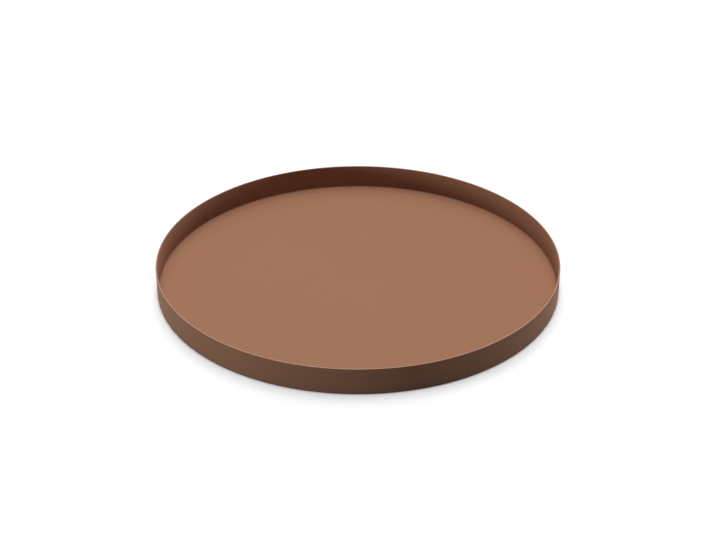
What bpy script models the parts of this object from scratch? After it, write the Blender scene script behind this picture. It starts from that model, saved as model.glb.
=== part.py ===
"""A round serving tray of powder-coated sheet steel, 300 mm across and 20 mm high.

A flat disc makes the tray's floor. A steel strip, rolled into a hoop and standing on edge around the
disc, makes its rim, and reaches a little below the disc. One upright weld closes the hoop where the
strip's two ends meet, and one ring of weld joins the disc to the hoop. Both welds are ground flush where
they show. Four thin dots of clear polyurethane under the disc keep the steel off the table.

The origin is on the table, at the tray's centre. +Z is up, and the hoop's upright weld is at +Y.
Lengths are in metres.
"""

import math

import bmesh
import bpy
from mathutils import Matrix, Vector

MM = 0.001

# The tray as it is bought.
TRAY_DIAMETER = 300 * MM
RIM_HEIGHT = 19.8 * MM  # the width of the strip that the hoop is rolled from
RIM_LIFT = 0.2 * MM  # how far the hoop's lower edge stays above the table
RIM_THICKNESS = 1.2 * MM  # with its coat
FLOOR_THICKNESS = 0.8 * MM  # with its coat

# The welds.
WELD_WIDTH = 1.0 * MM
WELD_CROWN = 0.2 * MM  # how far the ring of weld stands proud under the floor
SEAM_ANGLE = math.radians(90)

# The dots that the tray stands on.
PAD_COUNT = 4
PAD_DIAMETER = 10 * MM
PAD_THICKNESS = 0.3 * MM
PAD_DRAFT = 0.2 * MM  # how much smaller a dot's radius is where it meets the table
PAD_INSET = 20 * MM  # from the tray's outer edge to a dot's centre
FIRST_PAD_ANGLE = math.radians(45)

# Between neighbouring pieces: the fusion line beside a weld, and the film of glue above a dot.
CLEARANCE = 0.3 * MM

# Rounding of the cut edges.
RIM_EDGE_RADIUS = 0.35 * MM
FLOOR_EDGE_RADIUS = 0.15 * MM
WELD_EDGE_RADIUS = 0.15 * MM
PAD_EDGE_RADIUS = 0.1 * MM

# Facets of the round shapes.
HOOP_STEPS = 180
PAD_STEPS = 32
RIM_EDGE_SEGMENTS = 2
SHARP_EDGE = math.radians(40)

# Places that follow from the sizes above.
OUTER_RADIUS = TRAY_DIAMETER / 2
INNER_RADIUS = OUTER_RADIUS - RIM_THICKNESS
FLOOR_WELD_OUTER_RADIUS = INNER_RADIUS - CLEARANCE
FLOOR_WELD_INNER_RADIUS = FLOOR_WELD_OUTER_RADIUS - WELD_WIDTH
FLOOR_RADIUS = FLOOR_WELD_INNER_RADIUS - CLEARANCE
PAD_RADIUS = PAD_DIAMETER / 2
PAD_CIRCLE_RADIUS = OUTER_RADIUS - PAD_INSET
UNDERSIDE = PAD_THICKNESS + CLEARANCE

COAT_COLOUR = (163, 118, 92)  # 0 to 255, as on a screen
PAD_COLOUR = (214, 214, 208)


def clear_scene():
    for item in list(bpy.data.objects):
        bpy.data.objects.remove(item, do_unlink=True)


def linear(colour):
    """A screen colour of 0 to 255 as the linear RGBA that a shader takes."""
    shares = [channel / 255 for channel in colour]
    channels = [share / 12.92 if share <= 0.04045 else ((share + 0.055) / 1.055) ** 2.4 for share in shares]
    return (*channels, 1)


def material(name, colour, roughness, metallic=0.0):
    made = bpy.data.materials.new(name)
    made.use_nodes = True
    shader = made.node_tree.nodes["Principled BSDF"]
    shader.inputs["Base Color"].default_value = linear(colour)
    shader.inputs["Roughness"].default_value = roughness
    shader.inputs["Metallic"].default_value = metallic
    return made


def round_edges(piece, radius, segments=1):
    bevel = piece.modifiers.new("edge_rounding", "BEVEL")
    bevel.width = radius
    bevel.segments = segments
    bevel.limit_method = "ANGLE"
    bevel.angle_limit = SHARP_EDGE


def add_piece(name, form, finish, parent, location, turn=0.0):
    """Makes an object of a bmesh, shades it and puts it in its place."""
    bmesh.ops.recalc_face_normals(form, faces=form.faces)
    mesh = bpy.data.meshes.new(name)
    form.to_mesh(mesh)
    form.free()
    mesh.materials.append(finish)
    mesh.shade_smooth()
    mesh.set_sharp_from_angle(angle=SHARP_EDGE)
    piece = bpy.data.objects.new(name, mesh)
    bpy.context.scene.collection.objects.link(piece)
    piece.parent = parent
    piece.location = location
    piece.rotation_euler = (0, 0, turn)
    return piece


def section(form, inner_radius, outer_radius, height):
    """A standing rectangle on the XZ plane, from inner to outer radius and from zero up to height."""
    corners = [(inner_radius, 0), (outer_radius, 0), (outer_radius, height), (inner_radius, height)]
    return form.faces.new([form.verts.new((radius, 0, z)) for radius, z in corners])


def turn_up(form, outline, angle, use_merge=False):
    """Spins an outline round the upright axis."""
    axis = Vector((0, 0, 1))
    bmesh.ops.spin(form, geom=outline, cent=Vector(), axis=axis, angle=angle, steps=HOOP_STEPS, use_merge=use_merge)


def open_hoop(inner_radius, outer_radius, height, gap):
    """A hoop whose two ends stand gap apart, gap/2 to each side of +X, measured along its outer face."""
    half_gap = math.asin(gap / 2 / outer_radius)
    form = bmesh.new()
    face = section(form, inner_radius, outer_radius, height)
    bmesh.ops.rotate(form, verts=face.verts, cent=Vector(), matrix=Matrix.Rotation(half_gap, 3, "Z"))
    turn_up(form, [face], math.tau - 2 * half_gap)
    return form


def closed_hoop(inner_radius, outer_radius, height):
    form = bmesh.new()
    face = section(form, inner_radius, outer_radius, height)
    outline = list(face.edges)
    form.faces.remove(face)
    turn_up(form, outline, math.tau, use_merge=True)
    return form


def disc(bottom_radius, top_radius, height, steps):
    """A disc that stands on zero."""
    form = bmesh.new()
    bmesh.ops.create_cone(
        form,
        cap_ends=True,
        segments=steps,
        radius1=bottom_radius,
        radius2=top_radius,
        depth=height,
        matrix=Matrix.Translation((0, 0, height / 2)),
    )
    return form


def block(depth, width, height):
    """A block that stands on zero: depth along X, width along Y."""
    form = bmesh.new()
    size = Matrix.Diagonal((depth, width, height, 1))
    bmesh.ops.create_cube(form, size=1, matrix=Matrix.Translation((0, 0, height / 2)) @ size)
    return form


def make_floor(tray, coat):
    form = disc(FLOOR_RADIUS, FLOOR_RADIUS, FLOOR_THICKNESS, HOOP_STEPS)
    piece = add_piece("floor_disc", form, coat, tray, (0, 0, UNDERSIDE))
    round_edges(piece, FLOOR_EDGE_RADIUS)


def make_floor_weld(tray, coat):
    """The ring of weld fills the joint between disc and hoop, flush above and a little proud below."""
    form = closed_hoop(FLOOR_WELD_INNER_RADIUS, FLOOR_WELD_OUTER_RADIUS, FLOOR_THICKNESS + WELD_CROWN)
    piece = add_piece("floor_weld", form, coat, tray, (0, 0, UNDERSIDE - WELD_CROWN))
    round_edges(piece, WELD_EDGE_RADIUS)


def make_rim(tray, coat):
    gap = WELD_WIDTH + 2 * CLEARANCE
    form = open_hoop(INNER_RADIUS, OUTER_RADIUS, RIM_HEIGHT, gap)
    piece = add_piece("rim_band", form, coat, tray, (0, 0, RIM_LIFT), turn=SEAM_ANGLE)
    round_edges(piece, RIM_EDGE_RADIUS, RIM_EDGE_SEGMENTS)


def make_rim_weld(tray, coat):
    """The upright weld between the ends of the strip, ground flush with it inside and outside."""
    middle_radius = OUTER_RADIUS - RIM_THICKNESS / 2
    place = (middle_radius * math.cos(SEAM_ANGLE), middle_radius * math.sin(SEAM_ANGLE), RIM_LIFT)
    form = block(RIM_THICKNESS, WELD_WIDTH, RIM_HEIGHT)
    piece = add_piece("rim_seam_weld", form, coat, tray, place, turn=SEAM_ANGLE)
    round_edges(piece, WELD_EDGE_RADIUS)


def make_pads(tray, polyurethane):
    for number in range(PAD_COUNT):
        angle = FIRST_PAD_ANGLE + number * math.tau / PAD_COUNT
        place = (PAD_CIRCLE_RADIUS * math.cos(angle), PAD_CIRCLE_RADIUS * math.sin(angle), 0)
        form = disc(PAD_RADIUS - PAD_DRAFT, PAD_RADIUS, PAD_THICKNESS, PAD_STEPS)
        piece = add_piece(f"pad_{number + 1}", form, polyurethane, tray, place)
        round_edges(piece, PAD_EDGE_RADIUS)


def main():
    clear_scene()
    tray = bpy.data.objects.new("tray", None)
    bpy.context.scene.collection.objects.link(tray)
    coat = material("powder_coat", COAT_COLOUR, roughness=0.5)
    polyurethane = material("clear_polyurethane", PAD_COLOUR, roughness=0.35)
    make_floor(tray, coat)
    make_floor_weld(tray, coat)
    make_rim(tray, coat)
    make_rim_weld(tray, coat)
    make_pads(tray, polyurethane)


main()
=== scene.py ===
# %% [markdown]
# # A round tray of powder-coated steel
#
# The tray is a disc of sheet steel inside a hoop of steel strip. Two welds hold it together: an upright
# one that closes the hoop, and a ring between hoop and disc. One matt powder coat covers all of it, and
# four clear dots under the floor keep the steel off the table.
#
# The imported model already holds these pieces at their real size, as plain solids with narrow gaps between
# them. This lesson models each piece again with the edges and joints that the eye expects, gives it its
# finish, and lights it like a product photograph.

import math

import bmesh
import bpy
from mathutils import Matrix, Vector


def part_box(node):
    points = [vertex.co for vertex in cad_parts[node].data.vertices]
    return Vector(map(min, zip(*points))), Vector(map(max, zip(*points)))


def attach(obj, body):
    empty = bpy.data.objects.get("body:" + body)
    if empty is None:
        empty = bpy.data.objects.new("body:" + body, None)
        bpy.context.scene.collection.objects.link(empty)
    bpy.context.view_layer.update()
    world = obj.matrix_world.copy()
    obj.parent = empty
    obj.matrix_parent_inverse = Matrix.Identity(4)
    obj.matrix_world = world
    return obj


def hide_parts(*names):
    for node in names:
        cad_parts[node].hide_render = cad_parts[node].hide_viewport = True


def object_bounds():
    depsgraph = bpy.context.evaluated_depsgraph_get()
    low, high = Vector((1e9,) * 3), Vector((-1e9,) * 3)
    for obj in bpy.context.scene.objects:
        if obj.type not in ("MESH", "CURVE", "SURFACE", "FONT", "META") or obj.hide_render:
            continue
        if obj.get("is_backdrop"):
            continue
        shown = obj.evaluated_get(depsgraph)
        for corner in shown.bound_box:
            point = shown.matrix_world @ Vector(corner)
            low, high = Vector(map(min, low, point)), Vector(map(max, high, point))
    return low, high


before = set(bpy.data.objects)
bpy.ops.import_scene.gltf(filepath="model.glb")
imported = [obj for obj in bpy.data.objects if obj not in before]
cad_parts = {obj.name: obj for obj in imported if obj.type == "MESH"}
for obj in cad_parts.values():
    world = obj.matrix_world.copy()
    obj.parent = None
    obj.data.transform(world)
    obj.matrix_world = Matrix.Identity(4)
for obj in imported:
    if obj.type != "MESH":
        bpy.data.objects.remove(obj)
cad_low, cad_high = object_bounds()
print("packed nodes:", ", ".join(sorted(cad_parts)))

# %% [markdown]
# ## Sizes
#
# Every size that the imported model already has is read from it, so that nothing has to be fitted later.
# The upright weld stands at +Y and is as thick as the strip, so its box gives the hoop's two radii. The
# hoop stands a hair above the table and reaches a little below the floor, which leaves room for the dots.

# %% Read the sizes
MM = 0.001

rim_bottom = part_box("rim_band")[0].z
rim_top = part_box("rim_band")[1].z
inner_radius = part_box("rim_seam_weld")[0].y
outer_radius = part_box("rim_seam_weld")[1].y
floor_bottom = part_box("floor_disc")[0].z
floor_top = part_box("floor_disc")[1].z
bead_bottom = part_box("floor_weld")[0].z
seam_width = 2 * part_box("rim_seam_weld")[1].x
clearance = floor_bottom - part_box("pad_1")[1].z

strip_thickness = outer_radius - inner_radius
strip_height = rim_top - rim_bottom
middle_radius = (inner_radius + outer_radius) / 2
seam_gap_angle = (seam_width + 2 * clearance) / outer_radius
print(f"hoop {2 * outer_radius / MM:.1f} mm across, {strip_height / MM:.1f} mm high,"
      f" {strip_thickness / MM:.2f} mm thick")

# %% [markdown]
# ## The camera
#
# The photograph looks down on the tray from the front at about 31 degrees. The near and the far rim differ
# little in width, so the camera stood some way back with a longish lens. Its distance and its lens were
# worked out from the ellipses of the rim. The camera is made first, because the framing is the one thing
# that everything else is compared through.

# %% Make the camera
CAMERA_DISTANCE = 1018 * MM  # from the middle of the hoop's lower edge
CAMERA_ELEVATION = math.radians(30.845)
CAMERA_AIM_UP = math.radians(0.311)  # the photograph's centre lies this far above that point
CAMERA_LENS = 67.85  # this and the sensor's width are in millimetres
SENSOR_WIDTH = 36

camera_data = bpy.data.cameras.new("camera")
camera_data.sensor_width = SENSOR_WIDTH
camera_data.lens = CAMERA_LENS
camera = bpy.data.objects.new("camera", camera_data)
camera.location = (
    0,
    -CAMERA_DISTANCE * math.cos(CAMERA_ELEVATION),
    CAMERA_DISTANCE * math.sin(CAMERA_ELEVATION) + rim_bottom,
)
camera.rotation_euler = (math.pi / 2 - CAMERA_ELEVATION + CAMERA_AIM_UP, 0, 0)
bpy.context.scene.collection.objects.link(camera)
bpy.context.scene.camera = camera
print(f"camera {camera.location.length / MM:.0f} mm from the tray")

# %% [markdown]
# ## Helpers for modelling
#
# Blender's operators act on whatever is selected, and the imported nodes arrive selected. So each piece starts
# with everything deselected. Inside a piece, points are selected by their place, as one would with a
# selection box in the viewport.
#
# Every finished piece gets smooth shading with sharp corners kept, and weighted normals. Those let the large
# flat faces keep their own direction, so that only the small rounded edges catch the light.

# %% Helpers for modelling
SHARP_CORNER = math.radians(35)


def start_fresh():
    bpy.ops.object.select_all(action="DESELECT")


def keep_place_in_mesh(name):
    """Names the new piece and moves its place, turn and size into its mesh."""
    piece = bpy.context.object
    piece.name = name
    piece.data.name = name
    bpy.ops.object.transform_apply(location=True, rotation=True, scale=True)
    return piece


def select_points(piece, wanted):
    """In edit mode, selects the points whose place passes the test, and what lies wholly between them."""
    bpy.ops.mesh.select_all(action="DESELECT")
    form = bmesh.from_edit_mesh(piece.data)
    for point in form.verts:
        point.select = bool(wanted(point.co))
    form.select_flush(True)
    bmesh.update_edit_mesh(piece.data)


def finish_piece(piece, *nodes, slot="powder_coat"):
    """Shades the piece, lets it ride on the tray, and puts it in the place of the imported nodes."""
    start_fresh()
    piece.select_set(True)
    bpy.context.view_layer.objects.active = piece
    bpy.ops.object.shade_smooth_by_angle(angle=SHARP_CORNER, keep_sharp_edges=False)
    evened = piece.modifiers.new("even_normals", "WEIGHTED_NORMAL")
    evened.keep_sharp = True
    bpy.ops.object.modifier_apply(modifier=evened.name)
    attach(piece, "root")
    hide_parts(*nodes)
    print(f"{piece.name}: {len(piece.data.polygons)} faces")


# %% [markdown]
# ## The hoop
#
# The rim is a strip of steel, rolled round and standing on edge. Its cut edges are broken a little, and the
# coat rounds them further. It could be a cylinder with a Solidify modifier, but drawing the strip's section
# and spinning it round the tray is closer to how it is made: the hoop keeps two ends, and the gap between
# them is left for the weld. Spin turns clockwise as seen from above, so the section stands at the gap's
# right side.

# %% Spin the hoop from the strip's section
EDGE_ROUNDING = 0.35 * MM
ROUNDING_STEPS = 4
HOOP_STEPS = 360
SEAM_AZIMUTH = math.pi / 2


def draw_strip_section(name, azimuth):
    """A plane as tall and wide as the strip's section, stood up at this azimuth, with rounded corners."""
    start_fresh()
    place = (
        middle_radius * math.cos(azimuth),
        middle_radius * math.sin(azimuth),
        (rim_bottom + rim_top) / 2,
    )
    bpy.ops.mesh.primitive_plane_add(size=1, location=place, rotation=(math.pi / 2, 0, azimuth))
    bpy.context.object.scale = (strip_thickness, strip_height, 1)
    section = keep_place_in_mesh(name)
    bpy.ops.object.mode_set(mode="EDIT")
    bpy.ops.mesh.select_all(action="SELECT")
    bpy.ops.mesh.bevel(offset=EDGE_ROUNDING, segments=ROUNDING_STEPS, affect="VERTICES")
    bpy.ops.mesh.select_all(action="SELECT")
    return section


rim_strip = draw_strip_section("rim_strip", SEAM_AZIMUTH - seam_gap_angle / 2)
bpy.ops.mesh.spin(steps=HOOP_STEPS, angle=math.tau - seam_gap_angle, center=(0, 0, 0), axis=(0, 0, 1))
bpy.ops.mesh.select_all(action="SELECT")
bpy.ops.mesh.normals_make_consistent(inside=False)
bpy.ops.object.mode_set(mode="OBJECT")
finish_piece(rim_strip, "rim_band")

# %% [markdown]
# ## The upright weld
#
# The strip's ends are butted and welded, and the weld is ground back until it follows the strip. Inside, it
# is flush. Outside, at the tray's back, a trace of it stands proud. It is the same section as the strip,
# spun through the gap, and its middle is then pushed out a few hundredths of a millimetre.

# %% Fill the gap with the ground weld
SEAM_STEPS = 6
SEAM_CROWN = 0.03 * MM
SEAM_CROWN_SHARES = ((0.30, 1.0), (0.75, 0.6))  # of the weld's half width, and of its crown


rim_seam = draw_strip_section("rim_seam", SEAM_AZIMUTH + seam_gap_angle / 2)
bpy.ops.mesh.spin(steps=SEAM_STEPS, angle=seam_gap_angle, center=(0, 0, 0), axis=(0, 0, 1))
half_gap = seam_gap_angle * outer_radius / 2
pushed = 0
for reach, crown in reversed(SEAM_CROWN_SHARES):
    select_points(
        rim_seam,
        lambda place: abs(place.x) < reach * half_gap and math.hypot(place.x, place.y) > middle_radius,
    )
    growth = 1 + (crown * SEAM_CROWN - pushed) / outer_radius
    bpy.ops.transform.resize(value=(growth, growth, 1), center_override=(0, 0, 0))
    pushed = crown * SEAM_CROWN
bpy.ops.mesh.select_all(action="SELECT")
bpy.ops.mesh.normals_make_consistent(inside=False)
bpy.ops.object.mode_set(mode="OBJECT")
finish_piece(rim_seam, "rim_seam_weld")

# %% [markdown]
# ## The floor
#
# The floor is one flat disc that reaches the hoop all round. A cylinder of the sheet's thickness is a start.
# Its two round faces are inset three times and closed at a middle point, which leaves rings of regular
# faces where a single face with hundreds of corners would be cut into slivers.

# %% Make the floor disc
FLOOR_STEPS = 360
FLOOR_RING_SHARES = (0.25, 0.35, 0.30)  # of the floor's radius, from the edge inwards


start_fresh()
bpy.ops.mesh.primitive_cylinder_add(
    vertices=FLOOR_STEPS,
    radius=inner_radius,
    depth=floor_top - floor_bottom,
    location=(0, 0, (floor_bottom + floor_top) / 2),
)
tray_floor = keep_place_in_mesh("tray_floor")
bpy.ops.object.mode_set(mode="EDIT")
bpy.ops.mesh.select_mode(type="FACE")
for level in (floor_bottom, floor_top):
    bpy.ops.mesh.select_all(action="DESELECT")
    form = bmesh.from_edit_mesh(tray_floor.data)
    for face in form.faces:
        lies_flat = abs(face.normal.z) > math.cos(SHARP_CORNER)
        face.select = lies_flat and abs(face.calc_center_median().z - level) < clearance / 2
    bmesh.update_edit_mesh(tray_floor.data)
    for share in FLOOR_RING_SHARES:
        bpy.ops.mesh.inset(thickness=share * inner_radius)
    bpy.ops.mesh.poke()
bpy.ops.mesh.select_mode(type="VERT")
bpy.ops.object.mode_set(mode="OBJECT")
finish_piece(tray_floor, "floor_disc")

# %% [markdown]
# ## The corner inside
#
# Powder melts before it hardens, and it draws a small hollow fillet into the corner between floor and rim.
# Without it the corner would be a razor-sharp crease, which no coated part has. The fillet's section is a
# quarter of a circle with the corner behind it: a circle is added, three quarters of it are deleted, its
# two ends are joined through the corner, and the section is spun all the way round.

# %% Spin the fillet of coat
FILLET_RADIUS = 0.6 * MM
FILLET_CIRCLE_STEPS = 32
HAIR = 0.001 * MM  # a margin for comparing places

start_fresh()
fillet_radius_at = inner_radius - FILLET_RADIUS
fillet_height_at = floor_top + FILLET_RADIUS
bpy.ops.mesh.primitive_circle_add(
    vertices=FILLET_CIRCLE_STEPS,
    radius=FILLET_RADIUS,
    location=(fillet_radius_at, 0, fillet_height_at),
    rotation=(math.pi / 2, 0, 0),
)
corner_fillet = keep_place_in_mesh("corner_fillet")
bpy.ops.object.mode_set(mode="EDIT")
select_points(
    corner_fillet,
    lambda place: place.x < fillet_radius_at - HAIR or place.z > fillet_height_at + HAIR,
)
bpy.ops.mesh.delete(type="VERT")
select_points(corner_fillet, lambda place: place.z > fillet_height_at - HAIR)
bpy.ops.mesh.extrude_region_move(TRANSFORM_OT_translate={"value": (0, 0, -FILLET_RADIUS)})
select_points(corner_fillet, lambda place: place.z < floor_top + HAIR)
bpy.ops.mesh.edge_face_add()
bpy.ops.mesh.select_all(action="SELECT")
bpy.ops.mesh.spin(steps=HOOP_STEPS, angle=math.tau, center=(0, 0, 0), axis=(0, 0, 1), use_auto_merge=True)
bpy.ops.mesh.select_all(action="SELECT")
bpy.ops.mesh.remove_doubles(threshold=HAIR)
bpy.ops.mesh.normals_make_consistent(inside=False)
bpy.ops.object.mode_set(mode="OBJECT")
finish_piece(corner_fillet, "floor_weld")

# %% [markdown]
# ## The ring of weld underneath
#
# Under the tray the weld is left as it was laid: a low bead in the corner between floor and hoop, with a
# ripple for each dab of the welder's wire. The ripples are real shape here. The bead's section is the lower
# half of a flattened circle. A short arc of it is spun, with four steps to each ripple, and one row of points
# in four is pulled down. The arc is then doubled until it closes the ring, which is much quicker than
# spinning thousands of steps.

# %% Lay the first arc of the bead
BEAD_WIDTH = 1.9 * MM
BEAD_REACH = 0.6 * MM  # how far the bead overlaps the strip
RIPPLE_DEPTH = 0.07 * MM
RIPPLES_SPUN = 45
DOUBLINGS = 4
STEPS_PER_RIPPLE = 4
BEAD_CIRCLE_STEPS = 12

start_fresh()
bead_radius = inner_radius + BEAD_REACH - BEAD_WIDTH / 2
bead_crown = floor_bottom - bead_bottom - RIPPLE_DEPTH
ripple_angle = math.tau / (RIPPLES_SPUN * 2**DOUBLINGS)
bpy.ops.mesh.primitive_circle_add(
    vertices=BEAD_CIRCLE_STEPS,
    radius=BEAD_WIDTH / 2,
    location=(bead_radius, 0, floor_bottom),
    rotation=(math.pi / 2, 0, 0),
)
bpy.context.object.scale = (1, bead_crown / (BEAD_WIDTH / 2), 1)
weld_bead = keep_place_in_mesh("weld_bead")
bpy.ops.object.mode_set(mode="EDIT")
select_points(weld_bead, lambda place: place.z > floor_bottom + HAIR)
bpy.ops.mesh.delete(type="VERT")
select_points(weld_bead, lambda place: place.z > floor_bottom - HAIR)
bpy.ops.mesh.extrude_region_move(TRANSFORM_OT_translate={"value": (0, 0, clearance)})
bpy.ops.mesh.edge_face_add()
bpy.ops.mesh.select_all(action="SELECT")
arc = RIPPLES_SPUN * ripple_angle
bpy.ops.mesh.spin(steps=RIPPLES_SPUN * STEPS_PER_RIPPLE, angle=arc, center=(0, 0, 0), axis=(0, 0, 1))


def on_a_crest(place):
    """True for the rows in the middle of each ripple, on the bead's face."""
    turns = math.atan2(place.y, place.x) / ripple_angle + 0.5
    return abs(turns - round(turns)) * STEPS_PER_RIPPLE < 0.5 and place.z < floor_bottom - HAIR


select_points(weld_bead, on_a_crest)
bpy.ops.transform.translate(value=(0, 0, -RIPPLE_DEPTH))
print(f"{RIPPLES_SPUN} ripples, {ripple_angle * bead_radius / MM:.2f} mm apart")

# %% Double the arc until the ring is closed
for _ in range(DOUBLINGS):
    bpy.ops.mesh.select_all(action="SELECT")
    bpy.ops.mesh.duplicate()
    bpy.ops.transform.rotate(value=arc, orient_axis="Z", center_override=(0, 0, 0))
    arc *= 2
bpy.ops.mesh.select_all(action="SELECT")
bpy.ops.mesh.remove_doubles(threshold=HAIR)
bpy.ops.mesh.normals_make_consistent(inside=False)
bpy.ops.object.mode_set(mode="OBJECT")
finish_piece(weld_bead, "floor_weld")

# %% [markdown]
# ## The dots
#
# The dots are cast in clear polyurethane, flat where they are glued and rounded over where they meet the
# table. One is modelled from a short cylinder whose lower edge is bevelled to a quarter round, and the
# others are copies of it with their own meshes.

# %% Cast one dot and copy it
PAD_NODES = ("pad_1", "pad_2", "pad_3", "pad_4")
PAD_STEPS = 64
PAD_ROUNDING_SHARE = 0.7  # of the dot's thickness
PAD_ROUNDING_STEPS = 5


def pad_centre(node):
    low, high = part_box(node)
    return (low.x + high.x) / 2, (low.y + high.y) / 2


first_low, first_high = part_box(PAD_NODES[0])
start_fresh()
bpy.ops.mesh.primitive_cylinder_add(
    vertices=PAD_STEPS,
    radius=(first_high.x - first_low.x) / 2,
    depth=floor_bottom,
    location=(*pad_centre(PAD_NODES[0]), floor_bottom / 2),
)
first_dot = keep_place_in_mesh("foot_dot_1")
bpy.ops.object.mode_set(mode="EDIT")
select_points(first_dot, lambda place: place.z < HAIR)
bpy.ops.mesh.bevel(offset=PAD_ROUNDING_SHARE * floor_bottom, segments=PAD_ROUNDING_STEPS, affect="EDGES")
bpy.ops.object.mode_set(mode="OBJECT")

dots = [first_dot]
for number, node in enumerate(PAD_NODES[1:], start=2):
    start_fresh()
    first_dot.select_set(True)
    bpy.context.view_layer.objects.active = first_dot
    bpy.ops.object.duplicate(linked=False)
    here, there = pad_centre(PAD_NODES[0]), pad_centre(node)
    bpy.ops.transform.translate(value=(there[0] - here[0], there[1] - here[1], 0))
    dots.append(keep_place_in_mesh(f"foot_dot_{number}"))
for dot, node in zip(dots, PAD_NODES):
    finish_piece(dot, node, slot="clear_polyurethane")

# %% [markdown]
# ## Arithmetic for finishes
#
# A finish is a short calculation: this noise plus a share of that one, limited to a range. As nodes it is a
# long list of links, so a small class wraps one output of a node and lets the calculation be written as
# arithmetic. Each sum or product adds its Math node. The reflected forms at the end let a plain number
# stand first, as in 1 - mask.

# %% Write shader maths as arithmetic
class Value:
    """One output of a shader node. Arithmetic on it adds Math nodes."""

    def __init__(self, wiring, socket):
        self.wiring = wiring
        self.socket = socket

    def combine(self, operation, first, second):
        return self.wiring.node("ShaderNodeMath", {"operation": operation}, {0: first, 1: second})

    def __add__(self, other):
        return self.combine("ADD", self, other)

    def __sub__(self, other):
        return self.combine("SUBTRACT", self, other)

    def __rsub__(self, other):
        return self.combine("SUBTRACT", other, self)

    def __mul__(self, other):
        return self.combine("MULTIPLY", self, other)

    def above(self, low, high):
        """0 below low, 1 above high, and a soft slope between them."""
        settings = {"interpolation_type": "SMOOTHSTEP"}
        inputs = {"Value": self, "From Min": low, "From Max": high}
        return self.wiring.node("ShaderNodeMapRange", settings, inputs)

    __radd__ = __add__
    __rmul__ = __mul__


# %% [markdown]
# ## The nodes of a finish
#
# Every node of a finish comes from one method, which takes the node's kind, its settings and what goes into
# its sockets. The short methods after it add what the finishes here share: each point's place on the tray,
# cloudy noise of a given size, and a blend of two colours. Colours are written as they look on a screen,
# and a function turns them into the linear numbers that a shader takes.

# %% Add nodes and colours
class Wiring:
    """The nodes of one material, or of the world."""

    def __init__(self, owner):
        owner.use_nodes = True
        self.tree = owner.node_tree
        self.tree.nodes.clear()

    def node(self, kind, settings, inputs, output=0):
        """Adds a node, sets its settings, then its sockets, and returns one of its outputs."""
        node = self.tree.nodes.new(kind)
        for name, setting in settings.items():
            setattr(node, name, setting)
        for name, given in inputs.items():
            if isinstance(given, Value):
                self.tree.links.new(given.socket, node.inputs[name])
            else:
                node.inputs[name].default_value = given
        return None if output is None else Value(self, node.outputs[output])

    def place(self):
        """Where each point lies on the tray."""
        return self.node("ShaderNodeTexCoord", {}, {}, "Object")

    def noise(self, size, detail=2.0):
        """Cloudy noise from 0 to 1, whose blotches are about this size."""
        inputs = {"Vector": self.place(), "Scale": 1 / size, "Detail": detail}
        return self.node("ShaderNodeTexNoise", {}, inputs)

    def blend(self, share, first, second):
        """The first colour, and this share of the second."""
        return self.node("ShaderNodeMix", {"data_type": "RGBA"}, {0: share, 6: first, 7: second}, 2)


def linear(colour, brightness=1.0):
    """A screen colour of 0 to 255, made this much brighter, as the linear RGBA that a shader takes."""
    shares = [brightness * channel / 255 for channel in colour]
    channels = [share / 12.92 if share <= 0.04045 else ((share + 0.055) / 1.055) ** 2.4 for share in shares]
    return (*channels, 1)


def dress(pieces, finish):
    for piece in pieces:
        piece.data.materials.clear()
        piece.data.materials.append(finish)


# %% [markdown]
# ## The powder coat's pattern
#
# Powder coat is dry paint, melted in an oven. It flows a little but not fully, which leaves two textures: a
# low orange peel with waves of a millimetre or so, and a fine grain that makes it matt. The colour is
# almost even, with a faint cloudiness and fine specks of pigment, which come from the cells of a Voronoi
# texture.
#
# All of it is worked out from each point's place on the tray. So it runs on from piece to piece, and the
# welds don't show as changes of pattern.

# %% Work out the coat's pattern
PEEL_SIZE = 1.4 * MM
GRAIN_SIZE = 0.25 * MM
CLOUD_SIZE = 70 * MM
SPECK_SPACING = 0.8 * MM
SPECK_FADE = (0.08, 0.22)  # from a speck's middle, in shares of the spacing
SPECK_PATCH_SIZE = 3 * MM
SPECK_PATCH_FADE = (0.4, 0.6)  # of the noise that leaves some patches without specks

coat = bpy.data.materials.new("powder_coat_brown")
wiring = Wiring(coat)
cloud = wiring.noise(CLOUD_SIZE)
peel = wiring.noise(PEEL_SIZE, detail=1.0)
grain = wiring.noise(GRAIN_SIZE)
speck_grid = {"Vector": wiring.place(), "Scale": 1 / SPECK_SPACING}
from_speck = wiring.node("ShaderNodeTexVoronoi", {}, speck_grid, "Distance")
speck_patches = wiring.noise(SPECK_PATCH_SIZE).above(*SPECK_PATCH_FADE)
specks = (1 - from_speck.above(*SPECK_FADE)) * speck_patches
print("pattern:", len(coat.node_tree.nodes), "nodes")

# %% [markdown]
# ## The coat on the cut edges
#
# On the strip's cut edges the melted powder pulls back and lies thin, and the grey steel shows through a
# little, so an edge is duller than the faces beside it. Its outer corner is painted pale: partly wear, where
# hands and packing rub, and partly a painted highlight, the line of light that a rounded edge catches. The
# near rim turns its outer corner to the camera and shows a fine pale line, while the far rim shows its inner
# corner and has none.
#
# Two masks find these places. One is 1 at the strip's top and bottom, and the other rises from the strip's
# inner face to its outer one. The distance from the tray's middle is the length of the place with its height
# taken out.

# %% Find the cut edges and their outer corner
EDGE_REACH = 0.3 * MM  # how far the thin coat reaches from the strip's top and bottom
EDGE_PATCH_SIZE = 9 * MM
EDGE_PATCH_FADE = (0.35, 0.65)
EDGE_LEAST = 0.75  # the thin coat's share where it lies thickest
# The pale outer corner, part rubbed wear and part painted highlight, starts and is full at these distances.
RUB_AND_HIGHLIGHT_STARTS = 0.3 * MM  # from the strip's inner face
RUB_AND_HIGHLIGHT_IS_FULL = 0.25 * MM  # from the strip's outer face

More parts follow.
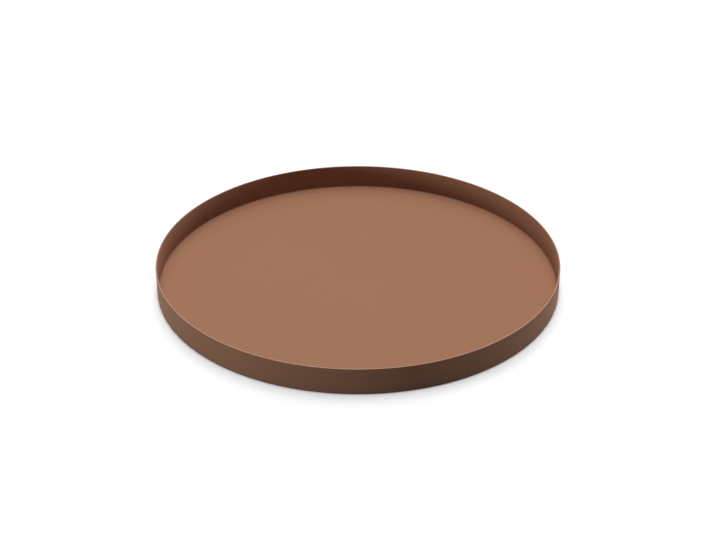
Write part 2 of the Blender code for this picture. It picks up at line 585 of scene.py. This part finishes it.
height = wiring.node("ShaderNodeSeparateXYZ", {}, {"Vector": wiring.place()}, "Z")
at_top = height.above(rim_top - EDGE_REACH, rim_top)
at_bottom = 1 - height.above(rim_bottom, rim_bottom + EDGE_REACH)
unevenness = EDGE_LEAST + (1 - EDGE_LEAST) * wiring.noise(EDGE_PATCH_SIZE).above(*EDGE_PATCH_FADE)
on_edge = (at_top + at_bottom) * unevenness

flat_place = wiring.node("ShaderNodeVectorMath", {"operation": "MULTIPLY"}, {0: wiring.place(), 1: (1, 1, 0)})
from_middle = wiring.node("ShaderNodeVectorMath", {"operation": "LENGTH"}, {0: flat_place}, "Value")
outwards = from_middle.above(inner_radius + RUB_AND_HIGHLIGHT_STARTS, outer_radius - RUB_AND_HIGHLIGHT_IS_FULL)
print(f"thin coat within {EDGE_REACH / MM:.1f} mm of the strip's edges")

# %% [markdown]
# ## The powder coat's mix
#
# The pattern now becomes a colour, a roughness and a relief. The colours differ by a few hundredths only,
# because the coat has to look even from where the photograph was taken. It is rough and has a low specular
# level, so there is little shine, and the peel and the grain break up what is left.

# %% Mix the powder coat
COAT_COLOUR = (150, 103, 76)
THIN_COLOUR = (129, 97, 75)
# The outer corner's pale colour: partly rubbed wear, partly a painted highlight of the rounded edge.
RUBBED_AND_HIGHLIGHT_COLOUR = (188, 148, 122)
COAT_BRIGHTNESS = (0.975, 1.025)  # where it is darkest and palest
CLOUD_CONTRAST = 0.8
GRAIN_CONTRAST = 0.5
SPECK_BRIGHTNESS = 0.88
SPECK_STRENGTH = 0.5
COAT_ROUGHNESS = 0.8
CLOUD_ROUGHNESS = 0.06  # how much the roughness changes with the clouds
GRAIN_ROUGHNESS = 0.12
COAT_SPECULAR = 0.35
PEEL_DEPTH = 0.05 * MM
GRAIN_DEPTH = 0.03 * MM

darkest, palest = [linear(COAT_COLOUR, brightness) for brightness in COAT_BRIGHTNESS]
tone = wiring.blend(0.5 + (cloud - 0.5) * CLOUD_CONTRAST + (grain - 0.5) * GRAIN_CONTRAST, darkest, palest)
tone = wiring.blend(specks * SPECK_STRENGTH, tone, linear(COAT_COLOUR, SPECK_BRIGHTNESS))
# The outer corner takes the pale colour, which is rubbed wear and a painted highlight in one.
edge_tone = wiring.blend(outwards, linear(THIN_COLOUR), linear(RUBBED_AND_HIGHLIGHT_COLOUR))
tone = wiring.blend(on_edge, tone, edge_tone)
roughness = COAT_ROUGHNESS + (grain - 0.5) * GRAIN_ROUGHNESS + (cloud - 0.5) * CLOUD_ROUGHNESS
relief = peel * PEEL_DEPTH + grain * GRAIN_DEPTH
normal = wiring.node("ShaderNodeBump", {}, {"Height": relief, "Strength": 1.0, "Distance": 1.0})
shader = wiring.node(
    "ShaderNodeBsdfPrincipled",
    {},
    {"Base Color": tone, "Roughness": roughness, "Normal": normal, "Specular IOR Level": COAT_SPECULAR},
)
wiring.node("ShaderNodeOutputMaterial", {}, {"Surface": shader}, output=None)
dress([rim_strip, rim_seam, tray_floor, corner_fillet, weld_bead], coat)
print("powder coat:", len(coat.node_tree.nodes), "nodes")

# %% [markdown]
# ## The clear polyurethane
#
# The dots are see-through but not like glass: they are cast soft, a little milky, and dust and finger marks
# dull their skin. So light passes through, and the roughness drifts from place to place.

# %% Mix the polyurethane
POLYURETHANE_COLOUR = (226, 226, 220)
POLYURETHANE_ROUGHNESS = 0.18
POLYURETHANE_IOR = 1.5
POLYURETHANE_TRANSMISSION = 0.7
HAZE_SIZE = 3 * MM
HAZE_BRIGHTNESS = 0.94
HAZE_ROUGHNESS = 0.1  # how much the roughness changes with the haze
HAZE_DEPTH = 0.01 * MM
MARK_SIZE = 0.8 * MM
MARK_FADE = (0.55, 0.7)  # of the noise that makes the marks
MARK_ROUGHNESS = 0.15

polyurethane = bpy.data.materials.new("clear_polyurethane")
wiring = Wiring(polyurethane)
haze = wiring.noise(HAZE_SIZE)
marks = wiring.noise(MARK_SIZE, detail=3.0).above(*MARK_FADE)
hazy_colour = linear(POLYURETHANE_COLOUR, HAZE_BRIGHTNESS)
haze_relief = {"Height": haze, "Strength": 1.0, "Distance": HAZE_DEPTH}
shader = wiring.node(
    "ShaderNodeBsdfPrincipled",
    {},
    {
        "Base Color": wiring.blend(haze, linear(POLYURETHANE_COLOUR), hazy_colour),
        "Roughness": POLYURETHANE_ROUGHNESS + (haze - 0.5) * HAZE_ROUGHNESS + marks * MARK_ROUGHNESS,
        "Normal": wiring.node("ShaderNodeBump", {}, haze_relief),
        "IOR": POLYURETHANE_IOR,
        "Transmission Weight": POLYURETHANE_TRANSMISSION,
    },
)
wiring.node("ShaderNodeOutputMaterial", {}, {"Surface": shader}, output=None)
dress(dots, polyurethane)
print("polyurethane:", len(polyurethane.node_tree.nodes), "nodes")

# %% [markdown]
# ## The table
#
# The photograph's ground is pure white, with one narrow, soft shadow round the tray's foot. Real white paper
# would throw so much light back up that the rim could never be as dark as it is there. So the table has two
# sides: what looks at it directly, or in a reflection, sees white paper that takes the shadow, and what is
# lit by it gets the light of a grey one.

# %% Lay the table
TABLE_SIZE = 12.0  # metres, so that its edge is out of every view
PAPER_SEEN = (0.99, 0.985, 0.97, 1)
PAPER_FELT = (0.24, 0.24, 0.24, 1)


def seen_directly(wiring):
    """1 for what is seen straight, in a reflection or through something, and 0 for scattered light."""
    ways = ("Is Camera Ray", "Is Glossy Ray", "Is Transmission Ray")
    straight, mirrored, through = [wiring.node("ShaderNodeLightPath", {}, {}, way) for way in ways]
    return straight + mirrored + through


start_fresh()
bpy.ops.mesh.primitive_plane_add(size=TABLE_SIZE)
table = bpy.context.object
table.name = "table"
paper = bpy.data.materials.new("white_paper")
wiring = Wiring(paper)
white = wiring.node("ShaderNodeBsdfDiffuse", {}, {"Color": PAPER_SEEN})
grey = wiring.node("ShaderNodeBsdfDiffuse", {}, {"Color": PAPER_FELT})
either = wiring.node("ShaderNodeMixShader", {}, {0: seen_directly(wiring), 1: grey, 2: white})
wiring.node("ShaderNodeOutputMaterial", {}, {"Surface": either}, output=None)
dress([table], paper)
table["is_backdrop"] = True
print(f"table {table.dimensions.x:.0f} m across")

# %% [markdown]
# ## The light
#
# The shadows tell how the tray was lit. On the table the shadow is darkest at the tray's foot and gone
# within 20 mm, and inside the tray the floor is darker along the back rim than at the sides. So the main
# light is overhead, a large soft one hangs behind it, and a little comes from a window further back. The
# rim's front is dark and its sides are lighter, the left more than the right. Those lights are cooler, and
# stand so low that they graze the table and leave most of the rim's inside dark.
#
# Sun lamps stand for all of them. With a wide angle they are as soft as a softbox, and they light the whole
# table evenly. A trace of cool light from all round stands for the room.

# %% Hang the lamps
NEUTRAL = (1.0, 1.0, 1.0)
COOL = (0.92, 1.0, 1.02)
LAMPS = {
    # name: (azimuth from the front, elevation, angle across, strength, colour), angles in degrees
    "overhead": (0, 90, 13, 1.68, NEUTRAL),
    "softbox_behind": (180, 75, 40, 1.22, NEUTRAL),
    "window_behind": (180, 44, 36, 0.48, NEUTRAL),
    "panel_left": (-75, 1.6, 7, 1.53, COOL),
    "panel_right": (105, 1.6, 7, 0.77, COOL),
    "panel_right_back": (130, 2, 14, 0.98, COOL),
}

for name, (azimuth, elevation, across, strength, colour) in LAMPS.items():
    data = bpy.data.lights.new(name, "SUN")
    data.energy = strength
    data.color = colour
    data.angle = math.radians(across)
    lamp = bpy.data.objects.new(name, data)
    lamp.rotation_euler = (math.radians(90 - elevation), 0, math.radians(azimuth))
    bpy.context.scene.collection.objects.link(lamp)
print(len(LAMPS), "lamps")

# %% Surround the tray with white
ROOM_LIGHT = (0.01, 0.035, 0.07, 1)
WHITE = (1, 1, 1, 1)

world = bpy.data.worlds.new("studio")
bpy.context.scene.world = world
wiring = Wiring(world)
room = wiring.node("ShaderNodeBackground", {}, {"Color": ROOM_LIGHT, "Strength": 1.0})
backdrop = wiring.node("ShaderNodeBackground", {}, {"Color": WHITE, "Strength": 1.0})
around = wiring.node("ShaderNodeMixShader", {}, {0: seen_directly(wiring), 1: room, 2: backdrop})
wiring.node("ShaderNodeOutputWorld", {}, {"Surface": around}, output=None)

bpy.context.scene.view_settings.view_transform = "Standard"
print("world:", len(world.node_tree.nodes), "nodes")

# %% [markdown]
# ## Both boxes
#
# The dressed tray has to fill the same box as the imported one. Both boxes are printed, in millimetres.

# %% Print both boxes
dressed_low, dressed_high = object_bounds()
boxes = {
    "packed": [list(cad_low), list(cad_high)],
    "dressed": [list(dressed_low), list(dressed_high)],
}
for name, (low, high) in boxes.items():
    print(name, "box in mm:", [round((b - a) / MM, 2) for a, b in zip(low, high)])
